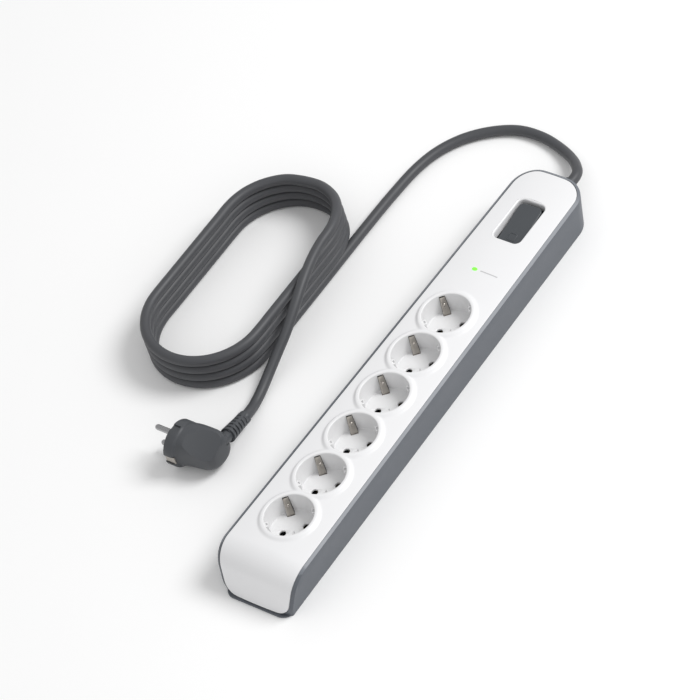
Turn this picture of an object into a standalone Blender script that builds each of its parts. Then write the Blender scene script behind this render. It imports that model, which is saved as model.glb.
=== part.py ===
"""Six-way surge power strip with a rocker switch, a coiled cord and an angled plug.

Lengths below are millimetres; MM turns them into metres.  +Z is up, the strip lies
along Y with its rolled nose at -Y and the cord at +Y.  The origin is under the
middle of the strip, on the surface it rests on.
"""
import math

import bmesh
import bpy
from mathutils import Matrix, Vector

MM = 0.001
GAP = 0.3                    # clearance between pieces that touch

# ---- housing -------------------------------------------------------------
NOSE_Y = -222.3              # front of the lip under the nose
TAIL_Y = 222.3               # far wall
EDGE_Z = 36.35               # lower edge of the bevelled band round the top
PANEL_Z = 37.8               # edge of the white panel
CROWN = 2.8                  # the panel is this much higher in the middle
BAND_W = 2.55                # width of the bevelled band in plan
TAIL_R = 21.0                # far corner radius of the tub in plan
PANEL_TAIL_R = 17.6          # far corner radius of the panel
NOSE_R = 9.0                 # lower corner radius of the nose
ROLL_R = 22.0                # radius the panel rolls over the nose
ROLL_ANGLE = math.radians(73.0)
ROLL_Y = -192.2              # where the roll starts
SHEET_T = 2.0                # panel thickness
SHELF_W = 1.5                # the panel rests on a shelf this wide
FOOT_TOP_Z = 9.0             # the nose is solid below this
LAND = 0.12                  # flat land between the band and the panel's seat
SHEET_FOOT_Z = 2.0           # lower edge of the panel over the lip
LIP_T = 1.2
FLOOR_T = 2.2
WALL_T = 2.4

# ---- sockets --------------------------------------------------------------
SOCKETS = 6
PITCH = 44.09
FIRST_SOCKET_Y = 61.0
RIM_Z = 42.0
RECESS_R = 20.0
RECESS_DEPTH = 18.6
CUP_R = 21.0
PLATEAU_TOP_R = 22.6
PLATEAU_FOOT_R = 25.2
PIN_OFFSET = 9.5
PIN_HOLE_R = 2.8
PIN_DIR = Vector((math.sqrt(0.5), math.sqrt(0.5), 0.0))
CLIP_DIR = Vector((-math.sqrt(0.5), math.sqrt(0.5), 0.0))

# ---- switch ----------------------------------------------------------------
SWITCH_Y = 167.0
ROCKER_HALF = (11.0, 20.5)
ROCKER_TOP = 36.3            # height of the rocker's middle
PIVOT_Z = 28.5
REST_TILT = math.radians(8.4)
CONTACT_TILT = math.radians(-6.0)
OPENING_HALF = (12.7, 21.9)
LED = (-5.0, 109.6)

# ---- cord ------------------------------------------------------------------
CORD_R = 4.4
EXIT_Z = 16.0
GLAND_END_Y = 236.0
HANK_X = -190.6
HANK_HALF_W = 51.1
HANK_NEAR_Y = -9.7
HANK_FAR_Y = 90.5
HANK_TURNS = 4

# ---- plug ------------------------------------------------------------------
PLUG_Y = -122.8
PLUG_Z = 19.0
PLUG_FACE_X = -142.0
PLUG_PIN_L = 19.0
PLUG_PIN_R = 2.4


# ======================================================================
# helpers
# ======================================================================
def clear_scene():
    for old in list(bpy.data.objects):
        bpy.data.objects.remove(old, do_unlink=True)


def make_material(name, colour, metallic=0.0, roughness=0.5, emission=0.0):
    material = bpy.data.materials.new(name)
    material.use_nodes = True
    shader = material.node_tree.nodes["Principled BSDF"]
    shader.inputs["Base Color"].default_value = (*colour, 1.0)
    shader.inputs["Metallic"].default_value = metallic
    shader.inputs["Roughness"].default_value = roughness
    if emission:
        shader.inputs["Emission Color"].default_value = (*colour, 1.0)
        shader.inputs["Emission Strength"].default_value = emission
    return material


def add_object(name, mesh, material=None):
    obj = bpy.data.objects.new(name, mesh)
    bpy.context.scene.collection.objects.link(obj)
    if material is not None:
        mesh.materials.append(material)
    return obj


def finish(obj, angle=35.0):
    """Round faces are shaded smooth and real edges stay sharp."""
    obj.data.shade_smooth()
    obj.data.set_sharp_from_angle(angle=math.radians(angle))
    return obj


def mesh_from(name, verts, faces):
    mesh = bpy.data.meshes.new(name)
    mesh.from_pydata([tuple(c * MM for c in v) for v in verts], [], faces)
    work = bmesh.new()
    work.from_mesh(mesh)
    bmesh.ops.remove_doubles(work, verts=work.verts, dist=1e-7)
    bmesh.ops.recalc_face_normals(work, faces=work.faces)
    work.to_mesh(mesh)
    work.free()
    return mesh


def loft(name, rings, material=None, closed=False):
    """Skin a list of rings; the ends are capped unless the rings close on themselves."""
    count = len(rings[0])
    verts = [point for ring in rings for point in ring]
    faces = []
    spans = len(rings) if closed else len(rings) - 1
    for r in range(spans):
        here = r * count
        there = ((r + 1) % len(rings)) * count
        for k in range(count):
            j = (k + 1) % count
            faces.append((here + k, here + j, there + j, there + k))
    if not closed:
        faces.append(tuple(range(count)))
        faces.append(tuple(range((len(rings) - 1) * count, len(rings) * count)))
    return add_object(name, mesh_from(name, verts, faces), material)


def prism(name, outline, axis, low, high, material=None):
    """Extrude a 2-D outline along X, Y or Z."""
    place = {
        "X": lambda a, b, h: (h, a, b),
        "Y": lambda a, b, h: (a, h, b),
        "Z": lambda a, b, h: (a, b, h),
    }[axis]
    rings = [[place(a, b, level) for a, b in outline] for level in (low, high)]
    return loft(name, rings, material)


def box(name, low, high, material=None):
    outline = [(low[0], low[1]), (high[0], low[1]), (high[0], high[1]), (low[0], high[1])]
    return prism(name, outline, "Z", low[2], high[2], material)


def rounded_rect(half_x, half_y, radius, centre=(0.0, 0.0), steps=5):
    points = []
    for quarter, (sx, sy) in enumerate(((1, 1), (-1, 1), (-1, -1), (1, -1))):
        cx = centre[0] + sx * (half_x - radius)
        cy = centre[1] + sy * (half_y - radius)
        for k in range(steps + 1):
            angle = math.radians(90.0 * quarter + 90.0 * k / steps)
            points.append((cx + radius * math.cos(angle), cy + radius * math.sin(angle)))
    return points


def turned(name, profile, centre, axis=(0, 0, 1), segments=24, material=None):
    """A solid of revolution: profile is (radius, height) pairs from pole to pole.
    A flat end is one face; any other pole is a point."""
    turn = Vector((0, 0, 1)).rotation_difference(Vector(axis)).to_matrix()
    flat_low = profile[0][1] == profile[1][1]
    flat_high = profile[-1][1] == profile[-2][1]
    profile = profile[1 if flat_low else 0:-1 if flat_high else None]
    verts, faces, starts = [], [], []
    for radius, height in profile:
        starts.append(len(verts))
        count = 1 if radius == 0 else segments
        for k in range(count):
            angle = 2 * math.pi * k / segments
            point = Vector((radius * math.cos(angle), radius * math.sin(angle), height))
            verts.append(tuple(turn @ point + Vector(centre)))
    for i in range(len(profile) - 1):
        for k in range(segments):
            j = (k + 1) % segments
            low, high = starts[i], starts[i + 1]
            if profile[i][0] == 0:
                faces.append((low, high + k, high + j))
            elif profile[i + 1][0] == 0:
                faces.append((low + k, low + j, high))
            else:
                faces.append((low + k, low + j, high + j, high + k))
    if flat_low:
        faces.append(tuple(range(starts[0], starts[0] + segments)))
    if flat_high:
        faces.append(tuple(range(starts[-1], starts[-1] + segments)))
    return add_object(name, mesh_from(name, verts, faces), material)


def cylinder(name, centre, radius, low, high, axis=(0, 0, 1), segments=24, material=None):
    profile = [(0, low), (radius, low), (radius, high), (0, high)]
    return turned(name, profile, centre, axis, segments, material)


def combine(target, tool, operation="DIFFERENCE"):
    """Apply one exact Boolean and remove the tool."""
    modifier = target.modifiers.new("cut", "BOOLEAN")
    modifier.operation = operation
    modifier.solver = "EXACT"
    modifier.object = tool
    graph = bpy.context.evaluated_depsgraph_get()
    result = bpy.data.meshes.new_from_object(target.evaluated_get(graph))
    target.modifiers.clear()
    target.data = result
    bpy.data.objects.remove(tool, do_unlink=True)
    return target


def set_origin(obj, point):
    """Move an object's origin to a point in millimetres without moving its shape."""
    offset = Vector(point) * MM
    obj.data.transform(Matrix.Translation(-offset))
    obj.location = offset


def smooth_path(anchors, spacing):
    """A centripetal curve through the anchors, read off at an even spacing."""
    points = [Vector(a) for a in anchors]
    points = [2 * points[0] - points[1]] + points + [2 * points[-1] - points[-2]]
    fine = []
    for i in range(1, len(points) - 2):
        p0, p1, p2, p3 = points[i - 1:i + 3]
        t1 = math.sqrt((p1 - p0).length)
        t2 = t1 + math.sqrt((p2 - p1).length)
        t3 = t2 + math.sqrt((p3 - p2).length)
        for k in range(16):
            t = t1 + (t2 - t1) * k / 16.0
            a1 = p0 * (t1 - t) / t1 + p1 * t / t1
            a2 = p1 * (t2 - t) / (t2 - t1) + p2 * (t - t1) / (t2 - t1)
            a3 = p2 * (t3 - t) / (t3 - t2) + p3 * (t - t2) / (t3 - t2)
            b1 = a1 * (t2 - t) / t2 + a2 * t / t2
            b2 = a2 * (t3 - t) / (t3 - t1) + a3 * (t - t1) / (t3 - t1)
            fine.append(b1 * (t2 - t) / (t2 - t1) + b2 * (t - t1) / (t2 - t1))
    fine.append(points[-2])
    total = sum((b - a).length for a, b in zip(fine, fine[1:]))
    steps = max(2, round(total / spacing))
    even, walked, target = [fine[0]], 0.0, total / steps
    for a, b in zip(fine, fine[1:]):
        length = (b - a).length
        while walked + length >= target * len(even) and len(even) < steps:
            even.append(a.lerp(b, (target * len(even) - walked) / length))
        walked += length
    even.append(fine[-1])
    return even


def tube(name, anchors, radius, spacing, material, resolution=2):
    """A round cord along a smooth route, with closed ends."""
    points = smooth_path(anchors, spacing)
    curve = bpy.data.curves.new(name, "CURVE")
    curve.dimensions = "3D"
    curve.bevel_depth = radius * MM
    curve.bevel_resolution = resolution
    curve.use_fill_caps = True
    spline = curve.splines.new("POLY")
    spline.points.add(len(points) - 1)
    for target, point in zip(spline.points, points):
        target.co = (*(point * MM), 1.0)
    curve.materials.append(material)
    obj = bpy.data.objects.new(name, curve)
    bpy.context.scene.collection.objects.link(obj)
    return obj


# ======================================================================
# the housing's own surfaces
# ======================================================================
def top_half(y):
    return 35.84 - 0.0172 * y


def base_half(y):
    return 29.5 - 0.0112 * y


def side_half(y, z):
    """Half width of the slanted side wall at a height."""
    return base_half(y) + (top_half(y) - base_half(y)) * z / EDGE_Z


def panel_half(y, z):
    return side_half(y, z) - BAND_W - 0.25


def corner_loss(distance, radius):
    """How far a rounded corner pulls the side in, at a distance from the end."""
    if distance >= radius:
        return 0.0
    return radius - math.sqrt(max(radius ** 2 - (radius - distance) ** 2, 0.0))


def stations(tail_y, tail_r):
    """Points along the panel's edge from the far end to the foot of the nose:
    (y, z, lean of the surface, corner loss, crown)."""
    result = []
    for k in range(7):
        angle = math.radians(90.0 * (6 - k) / 6)
        y = tail_y - tail_r + tail_r * math.sin(angle)
        result.append((y, PANEL_Z, 0.0, tail_r * (1 - math.cos(angle)), CROWN))
    for y in (100.0, 0.0, -100.0):
        result.append((y, PANEL_Z, 0.0, 0.0, CROWN))
    for k in range(8):
        lean = ROLL_ANGLE * k / 7
        y = ROLL_Y - ROLL_R * math.sin(lean)
        z = PANEL_Z - ROLL_R * (1 - math.cos(lean))
        result.append((y, z, lean, 0.0, CROWN - 1.6 * k / 7))
    _, roll_end, _, _, crown = result[-1]
    y_end = ROLL_Y - ROLL_R * math.sin(ROLL_ANGLE)
    run = (roll_end - SHEET_FOOT_Z) / math.sin(ROLL_ANGLE)
    for back in (9.0, 5.4, 2.6, 0.9, 0.0):
        along = run - back
        y = y_end - along * math.cos(ROLL_ANGLE)
        z = roll_end - along * math.sin(ROLL_ANGLE)
        result.append((y, z, ROLL_ANGLE, corner_loss(back, NOSE_R), crown))
    return result


COLUMNS = 8


def surface_point(x, station, depth):
    """A point on the crowned panel surface, or at a depth under it."""
    y, z, lean, _, crown = station
    rise = crown * (1.0 - min(1.0, abs(x) / panel_half(y, z)) ** 2) - depth
    return (x, y - rise * math.sin(lean), z + rise * math.cos(lean))


def panel_solid(name, low_depth, high_depth, inset, tail_y, tail_r, material=None):
    rings = []
    for station in stations(tail_y, tail_r):
        edge = panel_half(station[0], station[1]) - station[3] - inset
        xs = [edge * (2.0 * k / COLUMNS - 1.0) for k in range(COLUMNS + 1)]
        upper = [surface_point(x, station, high_depth) for x in xs]
        lower = [surface_point(x, station, low_depth) for x in xs]
        rings.append(upper + lower[::-1])
    return loft(name, rings, material)


def base_row(x_scale, station):
    y, z, lean, loss, _ = station
    edge_y = y + (PANEL_Z - EDGE_Z) * math.sin(lean)
    return ((base_half(edge_y) - loss) * x_scale, edge_y, 0.0)


def edge_row(x_scale, station):
    """Lower edge of the bevelled band."""
    y, z, lean, loss, crown = station
    drop = PANEL_Z - EDGE_Z
    edge_y = y + drop * math.sin(lean)
    edge_z = max(z - drop * math.cos(lean), 1.0)
    half = side_half(edge_y, edge_z)
    x = (half - loss) * x_scale
    rise = crown * (1.0 - (x / half) ** 2)
    return (x, edge_y - rise * math.sin(lean), edge_z + rise * math.cos(lean))


def band_row(x_scale, station):
    x = (panel_half(station[0], station[1]) - station[3]) * x_scale
    return surface_point(x, station, 0.0)


def seat_row(depth):
    def row(x_scale, station):
        x = (panel_half(station[0], station[1]) - LAND - station[3]) * x_scale
        return surface_point(x, station, depth)
    return row


def shelf_row(x_scale, station):
    x = (panel_half(station[0], station[1]) - SHELF_W - station[3]) * x_scale
    return surface_point(x, station, SHEET_T + GAP)


def floor_row(x_scale, station):
    inner_y = shelf_row(1.0, station)[1]
    return ((base_half(inner_y) - WALL_T - station[3]) * x_scale, inner_y, FLOOR_T)


def around(row, tail_y, tail_r, lowest=0.0):
    """Carry one row of the tub round its plan, from the left foot to the right foot."""
    path = stations(tail_y, tail_r)
    solid_from = [s for s in path if s[1] >= lowest][-1]
    path = [s if s[1] >= lowest else solid_from for s in path]
    left = [row(-1.0, s) for s in path[:0:-1]]
    tail = [row(k / 4.0, path[0]) for k in range(-4, 5)]
    right = [row(1.0, s) for s in path[1:]]
    return left + tail + right


def tub_shell(name, material):
    """The grey tub as rows from the base up the outside, over the rim and down inside."""
    seat_y = TAIL_Y - BAND_W - LAND
    inner_y = TAIL_Y - WALL_T - 1.7
    inner_r = TAIL_R - WALL_T - 1.7
    rings = [
        around(base_row, TAIL_Y, TAIL_R),
        around(edge_row, TAIL_Y, TAIL_R),
        around(band_row, TAIL_Y - BAND_W, PANEL_TAIL_R),
        around(seat_row(0.0), seat_y, PANEL_TAIL_R),
        around(seat_row(SHEET_T + GAP), seat_y, PANEL_TAIL_R),
        around(shelf_row, inner_y, inner_r, FOOT_TOP_Z),
        around(floor_row, inner_y, inner_r, FOOT_TOP_Z),
    ]
    return loft(name, rings, material)


def screw_points():
    return [(side * x, y) for x, y in ((20.0, -181.4), (22.0, -49.2), (16.0, 202.0))
            for side in (-1, 1)]


def socket_ys():
    return [FIRST_SOCKET_Y - PITCH * k for k in range(SOCKETS)]


# ======================================================================
# sub-parts
# ======================================================================
def build_top_cover(material):
    tail_y = TAIL_Y - BAND_W - LAND
    cover = panel_solid("top_cover", SHEET_T, 0.0, GAP + LAND, tail_y - GAP, PANEL_TAIL_R,
                        material)
    for y in socket_ys():
        profile = [(0, 38.4), (PLATEAU_FOOT_R, 38.4), (PLATEAU_TOP_R + 0.6, 41.6),
                   (PLATEAU_TOP_R - 0.4, RIM_Z), (0, RIM_Z)]
        combine(cover, turned("plateau", profile, (0, y, 0), segments=24), "UNION")
    collar = rounded_rect(OPENING_HALF[0] + 1.5, OPENING_HALF[1] + 1.5, 6.5, (0, SWITCH_Y))
    combine(cover, prism("collar", collar, "Z", 32.2, 39.4), "UNION")
    for x, y in screw_points():
        combine(cover, cylinder("boss", (x, y, 0), 3.0, 9.0, 38.6, segments=10), "UNION")
        combine(cover, cylinder("pilot", (x, y, 0), 1.8, 5.0, 24.0, segments=10))
    for y in socket_ys():
        combine(cover, cylinder("mouth", (0, y, 0), CUP_R + GAP, 30.0, 50.0, segments=24))
    opening = rounded_rect(*OPENING_HALF, 5.2, (0, SWITCH_Y))
    wide = rounded_rect(OPENING_HALF[0] + 0.9, OPENING_HALF[1] + 0.9, 6.0, (0, SWITCH_Y))
    flare = [[(x, y, 38.6) for x, y in opening], [(x, y, 41.4) for x, y in wide]]
    combine(cover, prism("opening", opening, "Z", 25.0, 50.0))
    combine(cover, loft("flare", flare))
    lens_hole = turned("lens_hole", [(0, 30), (2.75, 30), (2.75, 50), (0, 50)], (0, 0, 0))
    lens_hole.data.transform(Matrix.Diagonal((1.0, 0.7, 1.0, 1.0)))
    lens_hole.data.transform(Matrix.Translation((LED[0] * MM, LED[1] * MM, 0)))
    combine(cover, lens_hole)
    return finish(cover)


def build_housing_tub(material):
    tub = tub_shell("housing_tub", material)
    lip = rounded_rect(31.6, 20.0, NOSE_R + 1.0, (0, NOSE_Y + 20.0))
    combine(tub, prism("lip", lip, "Z", 0.0, LIP_T), "UNION")
    for x, y in screw_points():
        combine(tub, cylinder("sleeve", (x, y, 0), 4.4, 1.0, 8.7, segments=10), "UNION")
        combine(tub, cylinder("shank_hole", (x, y, 0), 1.9, -1.0, 12.0, segments=10))
        combine(tub, cylinder("head_hole", (x, y, 0), 3.6, -1.0, 3.4, segments=10))
    gland_hole = cylinder("gland_hole", (0, 0, EXIT_Z), 6.3, 205.0, 230.0, (0, 1, 0))
    combine(tub, gland_hole)
    return finish(tub)


def build_socket_cup(index, y, material):
    floor = RIM_Z - RECESS_DEPTH
    profile = [(0, floor), (RECESS_R - 0.5, floor), (RECESS_R - 0.1, RIM_Z - 0.6),
               (RECESS_R + 0.4, RIM_Z), (CUP_R, RIM_Z),
               (CUP_R, floor - 1.8), (0, floor - 1.8)]
    cup = turned(f"socket_cup_{index}", profile, (0, y, 0), segments=24, material=material)
    centre = Vector((0, y, 0))
    turn = Matrix.Rotation(math.radians(45.0), 4, "Z")
    for side in (-1, 1):
        rib = box("rib", (side * 18.9 - 1.5, -2.6, floor - 0.5), (side * 18.9 + 1.5, 2.6, 38.6))
        dimple = box("dimple", (side * 18.6 - 0.8, -1.3, 37.4), (side * 18.6 + 0.8, 1.3, 40.0))
        for piece in (rib, dimple):
            piece.data.transform(Matrix.Translation(centre * MM) @ turn)
        combine(cup, rib, "UNION")
        combine(cup, dimple)
        pin = centre + PIN_DIR * side * PIN_OFFSET
        combine(cup, cylinder("pin_hole", pin, PIN_HOLE_R, floor - 5, floor + 5, segments=10))
        slot = clip_slot(side)
        slot.data.transform(Matrix.Translation(centre * MM) @ turn)
        combine(cup, slot)
    mark = centre - PIN_DIR * 1.1 - CLIP_DIR * 2.65
    combine(cup, cylinder("mark", mark, 0.9, floor - 0.9, floor + 2, segments=8))
    return finish(cup)


def clip_slot(side):
    """A tapered slot through the floor and the wall, along the cup's own Y axis."""
    floor = RIM_Z - RECESS_DEPTH
    rings = []
    for z, half in ((floor - 4.0, 3.4), (40.2, 2.5)):
        ring = [(-half, side * 14.2, z), (half, side * 14.2, z),
                (half, side * 22.0, z), (-half, side * 22.0, z)]
        rings.append(ring)
    return loft("slot", rings)


def build_earth_clip(index, y, material):
    """A sprung strip: a bridge under the cup and two arms rising through its slots."""
    thick = 0.8
    path = [(18.9, 39.6, 2.2), (16.9, 31.5, 2.7), (14.9, 22.6, 3.1), (14.9, 20.2, 3.1)]
    inner = [(-r, z, half) for r, z, half in path] + [(r, z, half) for r, z, half in path[::-1]]
    outer = [(-(r + thick), z, half) for r, z, half in path[:3]]
    outer += [(-(14.9 + thick), 19.4, 3.1), (14.9 + thick, 19.4, 3.1)]
    outer += [(r + thick, z, half) for r, z, half in path[2::-1]]
    rings = []
    for (a, za, ha), (b, zb, hb) in zip(inner, outer):
        rings.append([(-ha, a, za), (ha, a, za), (hb, b, zb), (-hb, b, zb)])
    clip = loft(f"earth_clip_{index}", rings, material)
    for side in (-1, 1):
        dome = turned("dome", [(0, -0.4), (1.3, -0.4), (0.9, 0.4), (0, 0.7)],
                      (0, side * 17.2, 33.0), (0, -side, 0.0), segments=8)
        combine(clip, dome, "UNION")
    turn = Matrix.Rotation(math.radians(45.0), 4, "Z")
    clip.data.transform(Matrix.Translation((0, y * MM, 0)) @ turn)
    return finish(clip)


def build_fork_rail(name, x, side, material):
    """A stamped strip on edge with one fork under each pin hole."""
    top, bottom = 10.0, 6.0
    outline = [(-171.0, bottom), (97.0, bottom), (97.0, top)]
    for y in socket_ys():
        centre = y + side * PIN_OFFSET * PIN_DIR.y
        outline += [(centre + 3.4, top), (centre + 3.2, 20.4), (centre + 2.0, 21.0),
                    (centre + 1.9, 12.5), (centre - 1.9, 12.5), (centre - 2.0, 21.0),
                    (centre - 3.2, 20.4), (centre - 3.4, top)]
    outline.append((-171.0, top))
    return finish(prism(name, outline, "X", x - 0.4, x + 0.4, material))


def build_earth_rail(material):
    top, bottom = 15.5, 12.0
    outline = [(-171.0, bottom), (97.0, bottom), (97.0, top)]
    for y in socket_ys():
        outline += [(y + 2.6, top), (y + 2.0, 19.1), (y - 2.0, 19.1), (y - 2.6, top)]
    outline.append((-171.0, top))
    return finish(prism("earth_rail", outline, "X", -0.4, 0.4, material))


def build_rail_carrier(material):
    """The insulating tray the three rails stand in."""
    half = [(0.8, 11.6), (0.8, 14.0), (2.2, 14.0), (2.2, 5.6)]
    half += [(5.4, 5.6), (5.4, 8.6), (6.0, 8.6), (6.0, 5.6), (7.5, 5.6), (7.5, 8.6)]
    half += [(9.0, 8.6), (9.0, FLOOR_T + GAP)]
    outline = [(-x, z) for x, z in half[::-1]] + half
    outline = outline[1:] if outline[0] == outline[-1] else outline
    return finish(prism("rail_carrier", outline, "Y", -173.0, 95.0, material))


def build_surge_board(material):
    board = box("surge_board", (-19.0, 87.0, 20.0), (19.0, 133.0, 21.6), material)
    for x, y in ((-16.0, 90.0), (16.0, 90.0), (-16.0, 130.0), (16.0, 130.0)):
        combine(board, cylinder("hole", (x, y, 0), 1.6, 15.0, 25.0, segments=12))
    return finish(board)


def build_varistor(index, x, y, material):
    profile = [(0, -2.1), (6.2, -2.1), (7.0, -1.2), (7.0, 1.2), (6.2, 2.1), (0, 2.1)]
    disc = turned(f"varistor_{index}", profile, (x, y, 29.0), (0, 1, 0), 20, material)
    return finish(disc)


def build_thermal_fuse(material):
    profile = [(0, -6.0), (2.0, -6.0), (2.4, -5.2), (2.4, 5.2), (2.0, 6.0), (0, 6.0)]
    return finish(turned("thermal_fuse", profile, (0, 93.0, 24.4), (1, 0, 0), 16, material))


def build_status_led(material):
    profile = [(0, 22.0), (1.5, 22.0), (1.5, 25.0), (1.1, 26.2), (0, 26.6)]
    return finish(turned("status_led", profile, (*LED, 0), segments=16, material=material))


def build_led_lens(material):
    profile = [(0, 27.0), (1.8, 27.0), (2.0, 35.0), (3.6, 35.0), (3.6, 37.2), (2.45, 37.2),
               (2.45, 40.75), (1.6, 41.0), (0, 41.05)]
    lens = turned("led_lens", profile, (0, 0, 0), segments=20, material=material)
    lens.data.transform(Matrix.Diagonal((1.0, 0.66, 1.0, 1.0)))
    lens.data.transform(Matrix.Translation((LED[0] * MM, LED[1] * MM, 0)))
    return finish(lens)


def build_switch_body(material):
    outer = rounded_rect(14.2, 23.6, 4.0, (0, SWITCH_Y), 3)
    inner = rounded_rect(11.6, 21.9, 5.2, (0, SWITCH_Y), 3)
    body = prism("switch_body", outer, "Z", 10.0, 31.9, material)
    combine(body, prism("well", inner, "Z", 11.6, 40.0))
    combine(body, cylinder("bearing", (0, SWITCH_Y, PIVOT_Z), 2.1, -16.0, 16.0, (1, 0, 0)))
    for x in (-6.0, 6.0):
        for y in (SWITCH_Y, SWITCH_Y + 10.0):
            slot = box("slot", (x - 2.3, y - 0.7, 5.0), (x + 2.3, y + 0.7, 15.0))
            combine(body, slot)
    return finish(body)


def build_rocker(material):
    """Built level about its pivot, then tipped to its rest position."""
    half_x, half_y = ROCKER_HALF
    top = ROCKER_TOP - PIVOT_Z
    rings = []
    for z, shrink, radius in ((-1.5, 0.9, 4.2), (top - 0.9, 0.1, 5.0), (top - 0.25, 0.3, 4.8),
                              (top, 0.9, 4.3)):
        outline = rounded_rect(half_x - shrink, half_y - shrink, radius)
        rings.append([(x, y, z) for x, y in outline])
    rocker = loft("rocker", rings, material)
    for x in (-6.0, 6.0):
        stem = [(-1.6, -1.0), (-0.7, -11.6), (0.7, -11.6), (1.6, -1.0)]
        combine(rocker, prism("stem", stem, "X", x - 1.5, x + 1.5), "UNION")
    axle = cylinder("axle", (0, 0, 0), 2.0, -13.6, 13.6, (1, 0, 0))
    combine(rocker, axle, "UNION")
    ridge = [(-0.7, top - 0.4), (-0.45, top + 0.45), (0.45, top + 0.45), (0.7, top - 0.4)]
    grip = prism("ridge", ridge, "X", -3.4, 3.4)
    grip.data.transform(Matrix.Translation((0, -15.6 * MM, 0)))
    combine(rocker, grip, "UNION")
    rocker.data.transform(Matrix.Rotation(REST_TILT, 4, "X"))
    rocker.location = Vector((0, SWITCH_Y, PIVOT_Z)) * MM
    return finish(rocker)


def build_contact_plate(name, x, material):
    """A see-saw contact with a raised tip at each end, tipped to its closed position."""
    outline = [(-12.0, -0.4), (12.0, -0.4), (12.0, 0.4), (3.0, 0.4), (2.0, 0.1),
               (-2.0, 0.1), (-3.0, 0.4), (-12.0, 0.4)]
    plate = prism(name, outline, "X", x - 1.9, x + 1.9, material)
    plate.data.transform(Matrix.Rotation(CONTACT_TILT, 4, "X"))
    plate.location = Vector((0, SWITCH_Y, 16.0)) * MM
    return finish(plate)


def build_terminal(name, x, y, top, material):
    outline = [(x - 2.0, 5.0), (x + 2.0, 5.0), (x + 2.0, top), (x - 2.0, top)]
    return finish(prism(name, outline, "Y", y - 0.4, y + 0.4, material))


def build_gland(material):
    profile = [(0, 213.0), (8.0, 213.0), (8.0, 217.9), (6.0, 217.9), (6.0, 222.8),
               (7.2, 222.8), (7.2, 225.0)]
    for k in range(3):
        y = 225.2 + 3.2 * k
        radius = 6.8 - 0.4 * k
        profile += [(radius, y), (radius - 0.1, y + 1.5), (5.2, y + 1.7), (5.2, y + 3.0)]
    profile += [(5.5, 234.8), (5.3, GLAND_END_Y), (0, GLAND_END_Y)]
    gland = turned("cord_gland", profile, (0, 0, EXIT_Z), (0, 1, 0), 14, material)
    return finish(gland)


def build_screw(index, x, y, material):
    profile = [(0, 0.6), (2.9, 0.6), (3.2, 1.2), (3.2, 2.4), (1.5, 3.0), (1.5, 21.0),
               (0.6, 23.0), (0, 23.0)]
    screw = turned(f"housing_screw_{index}", profile, (x, y, 0), segments=10, material=material)
    return finish(screw)


def build_hank(material):
    """One solid outside of the stacked turns: a tall section swept round a long loop."""
    height = 2 * CORD_R * HANK_TURNS
    section = rounded_rect(CORD_R, height / 2, CORD_R - 0.1, (0, height / 2), 2)
    rings = []
    for centre_y, start in ((HANK_FAR_Y, 0.0), (HANK_NEAR_Y, 180.0)):
        for k in range(10):
            angle = math.radians(start + 20.0 * k)
            ring = []
            for s, z in section:
                radius = HANK_HALF_W + s
                ring.append((HANK_X + radius * math.cos(angle),
                             centre_y + radius * math.sin(angle), z))
            rings.append(ring)
    return finish(loft("cord_hank", rings, material, closed=True), 60.0)


def build_plug_body(material):
    """A round face on the pins' side, narrowing to a flat-sided grip."""
    rings = []
    steps = 28
    layers = (
        (-142.0, 18.2, 18.2, PLUG_Y, 19.0, 2.0), (-141.2, 19.0, 19.0, PLUG_Y, 19.0, 2.0),
        (-134.0, 19.0, 19.0, PLUG_Y, 19.0, 2.0), (-133.0, 18.0, 18.2, PLUG_Y, 19.0, 2.0),
        (-131.0, 16.5, 17.6, -121.0, 19.0, 2.3), (-124.0, 15.6, 17.0, -119.6, 19.0, 2.6),
        (-112.0, 15.0, 15.6, -118.4, 18.6, 2.8), (-105.0, 13.2, 13.2, -117.6, 18.2, 2.6),
        (-102.4, 10.0, 10.2, -117.2, 18.0, 2.3), (-101.8, 7.0, 7.4, -117.2, 18.0, 2.2))
    for x, half_y, half_z, cy, cz, power in layers:
        ring = []
        for k in range(steps):
            angle = 2 * math.pi * k / steps
            c, s = math.cos(angle), math.sin(angle)
            ring.append((x, cy + half_y * math.copysign(abs(c) ** (2 / power), c),
                         cz + half_z * math.copysign(abs(s) ** (2 / power), s)))
        rings.append(ring)
    body = loft("plug_body", rings, material)
    for side in (-1, 1):
        y = PLUG_Y + side * 19.0
        groove = box("groove", (-145.0, y - 2.6, PLUG_Z - 4.0), (-131.6, y + 2.6, PLUG_Z + 4.0))
        combine(body, groove)
        z = PLUG_Z + side * 19.0
        notch = box("notch", (-145.0, PLUG_Y - 2.6, z - 1.6), (-134.5, PLUG_Y + 2.6, z + 1.6))
        combine(body, notch)
        pin = (0, PLUG_Y, PLUG_Z + side * PIN_OFFSET)
        combine(body, cylinder("pin_seat", pin, PLUG_PIN_R + GAP, -150.0, -130.0, (1, 0, 0), 16))
    start = Vector(RELIEF_AXIS[0])
    direction = (Vector(RELIEF_AXIS[1]) - start).normalized()
    socket = cylinder("relief_seat", start, 5.2, -9.0, 10.0, direction, 20)
    combine(body, socket)
    return finish(body)


RELIEF_AXIS = ((-108.0, -102.0, 18.6), (-112.4, -74.0, 10.0))


def build_plug_relief(material):
    start = Vector(RELIEF_AXIS[0])
    along = Vector(RELIEF_AXIS[1]) - start
    length = along.length
    profile = [(0, -8.6), (4.8, -8.6), (4.8, 0.0)]
    for k in range(5):
        at = 1.5 + k * (length - 4.0) / 5
        radius = 6.6 - 0.3 * k
        profile += [(radius, at), (radius - 0.1, at + 3.4), (4.9, at + 3.6), (4.9, at + 4.9)]
    profile += [(5.2, length - 2.0), (5.0, length), (0, length)]
    relief = turned("plug_strain_relief", profile, start, along.normalized(), 12, material)
    return finish(relief)


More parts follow.
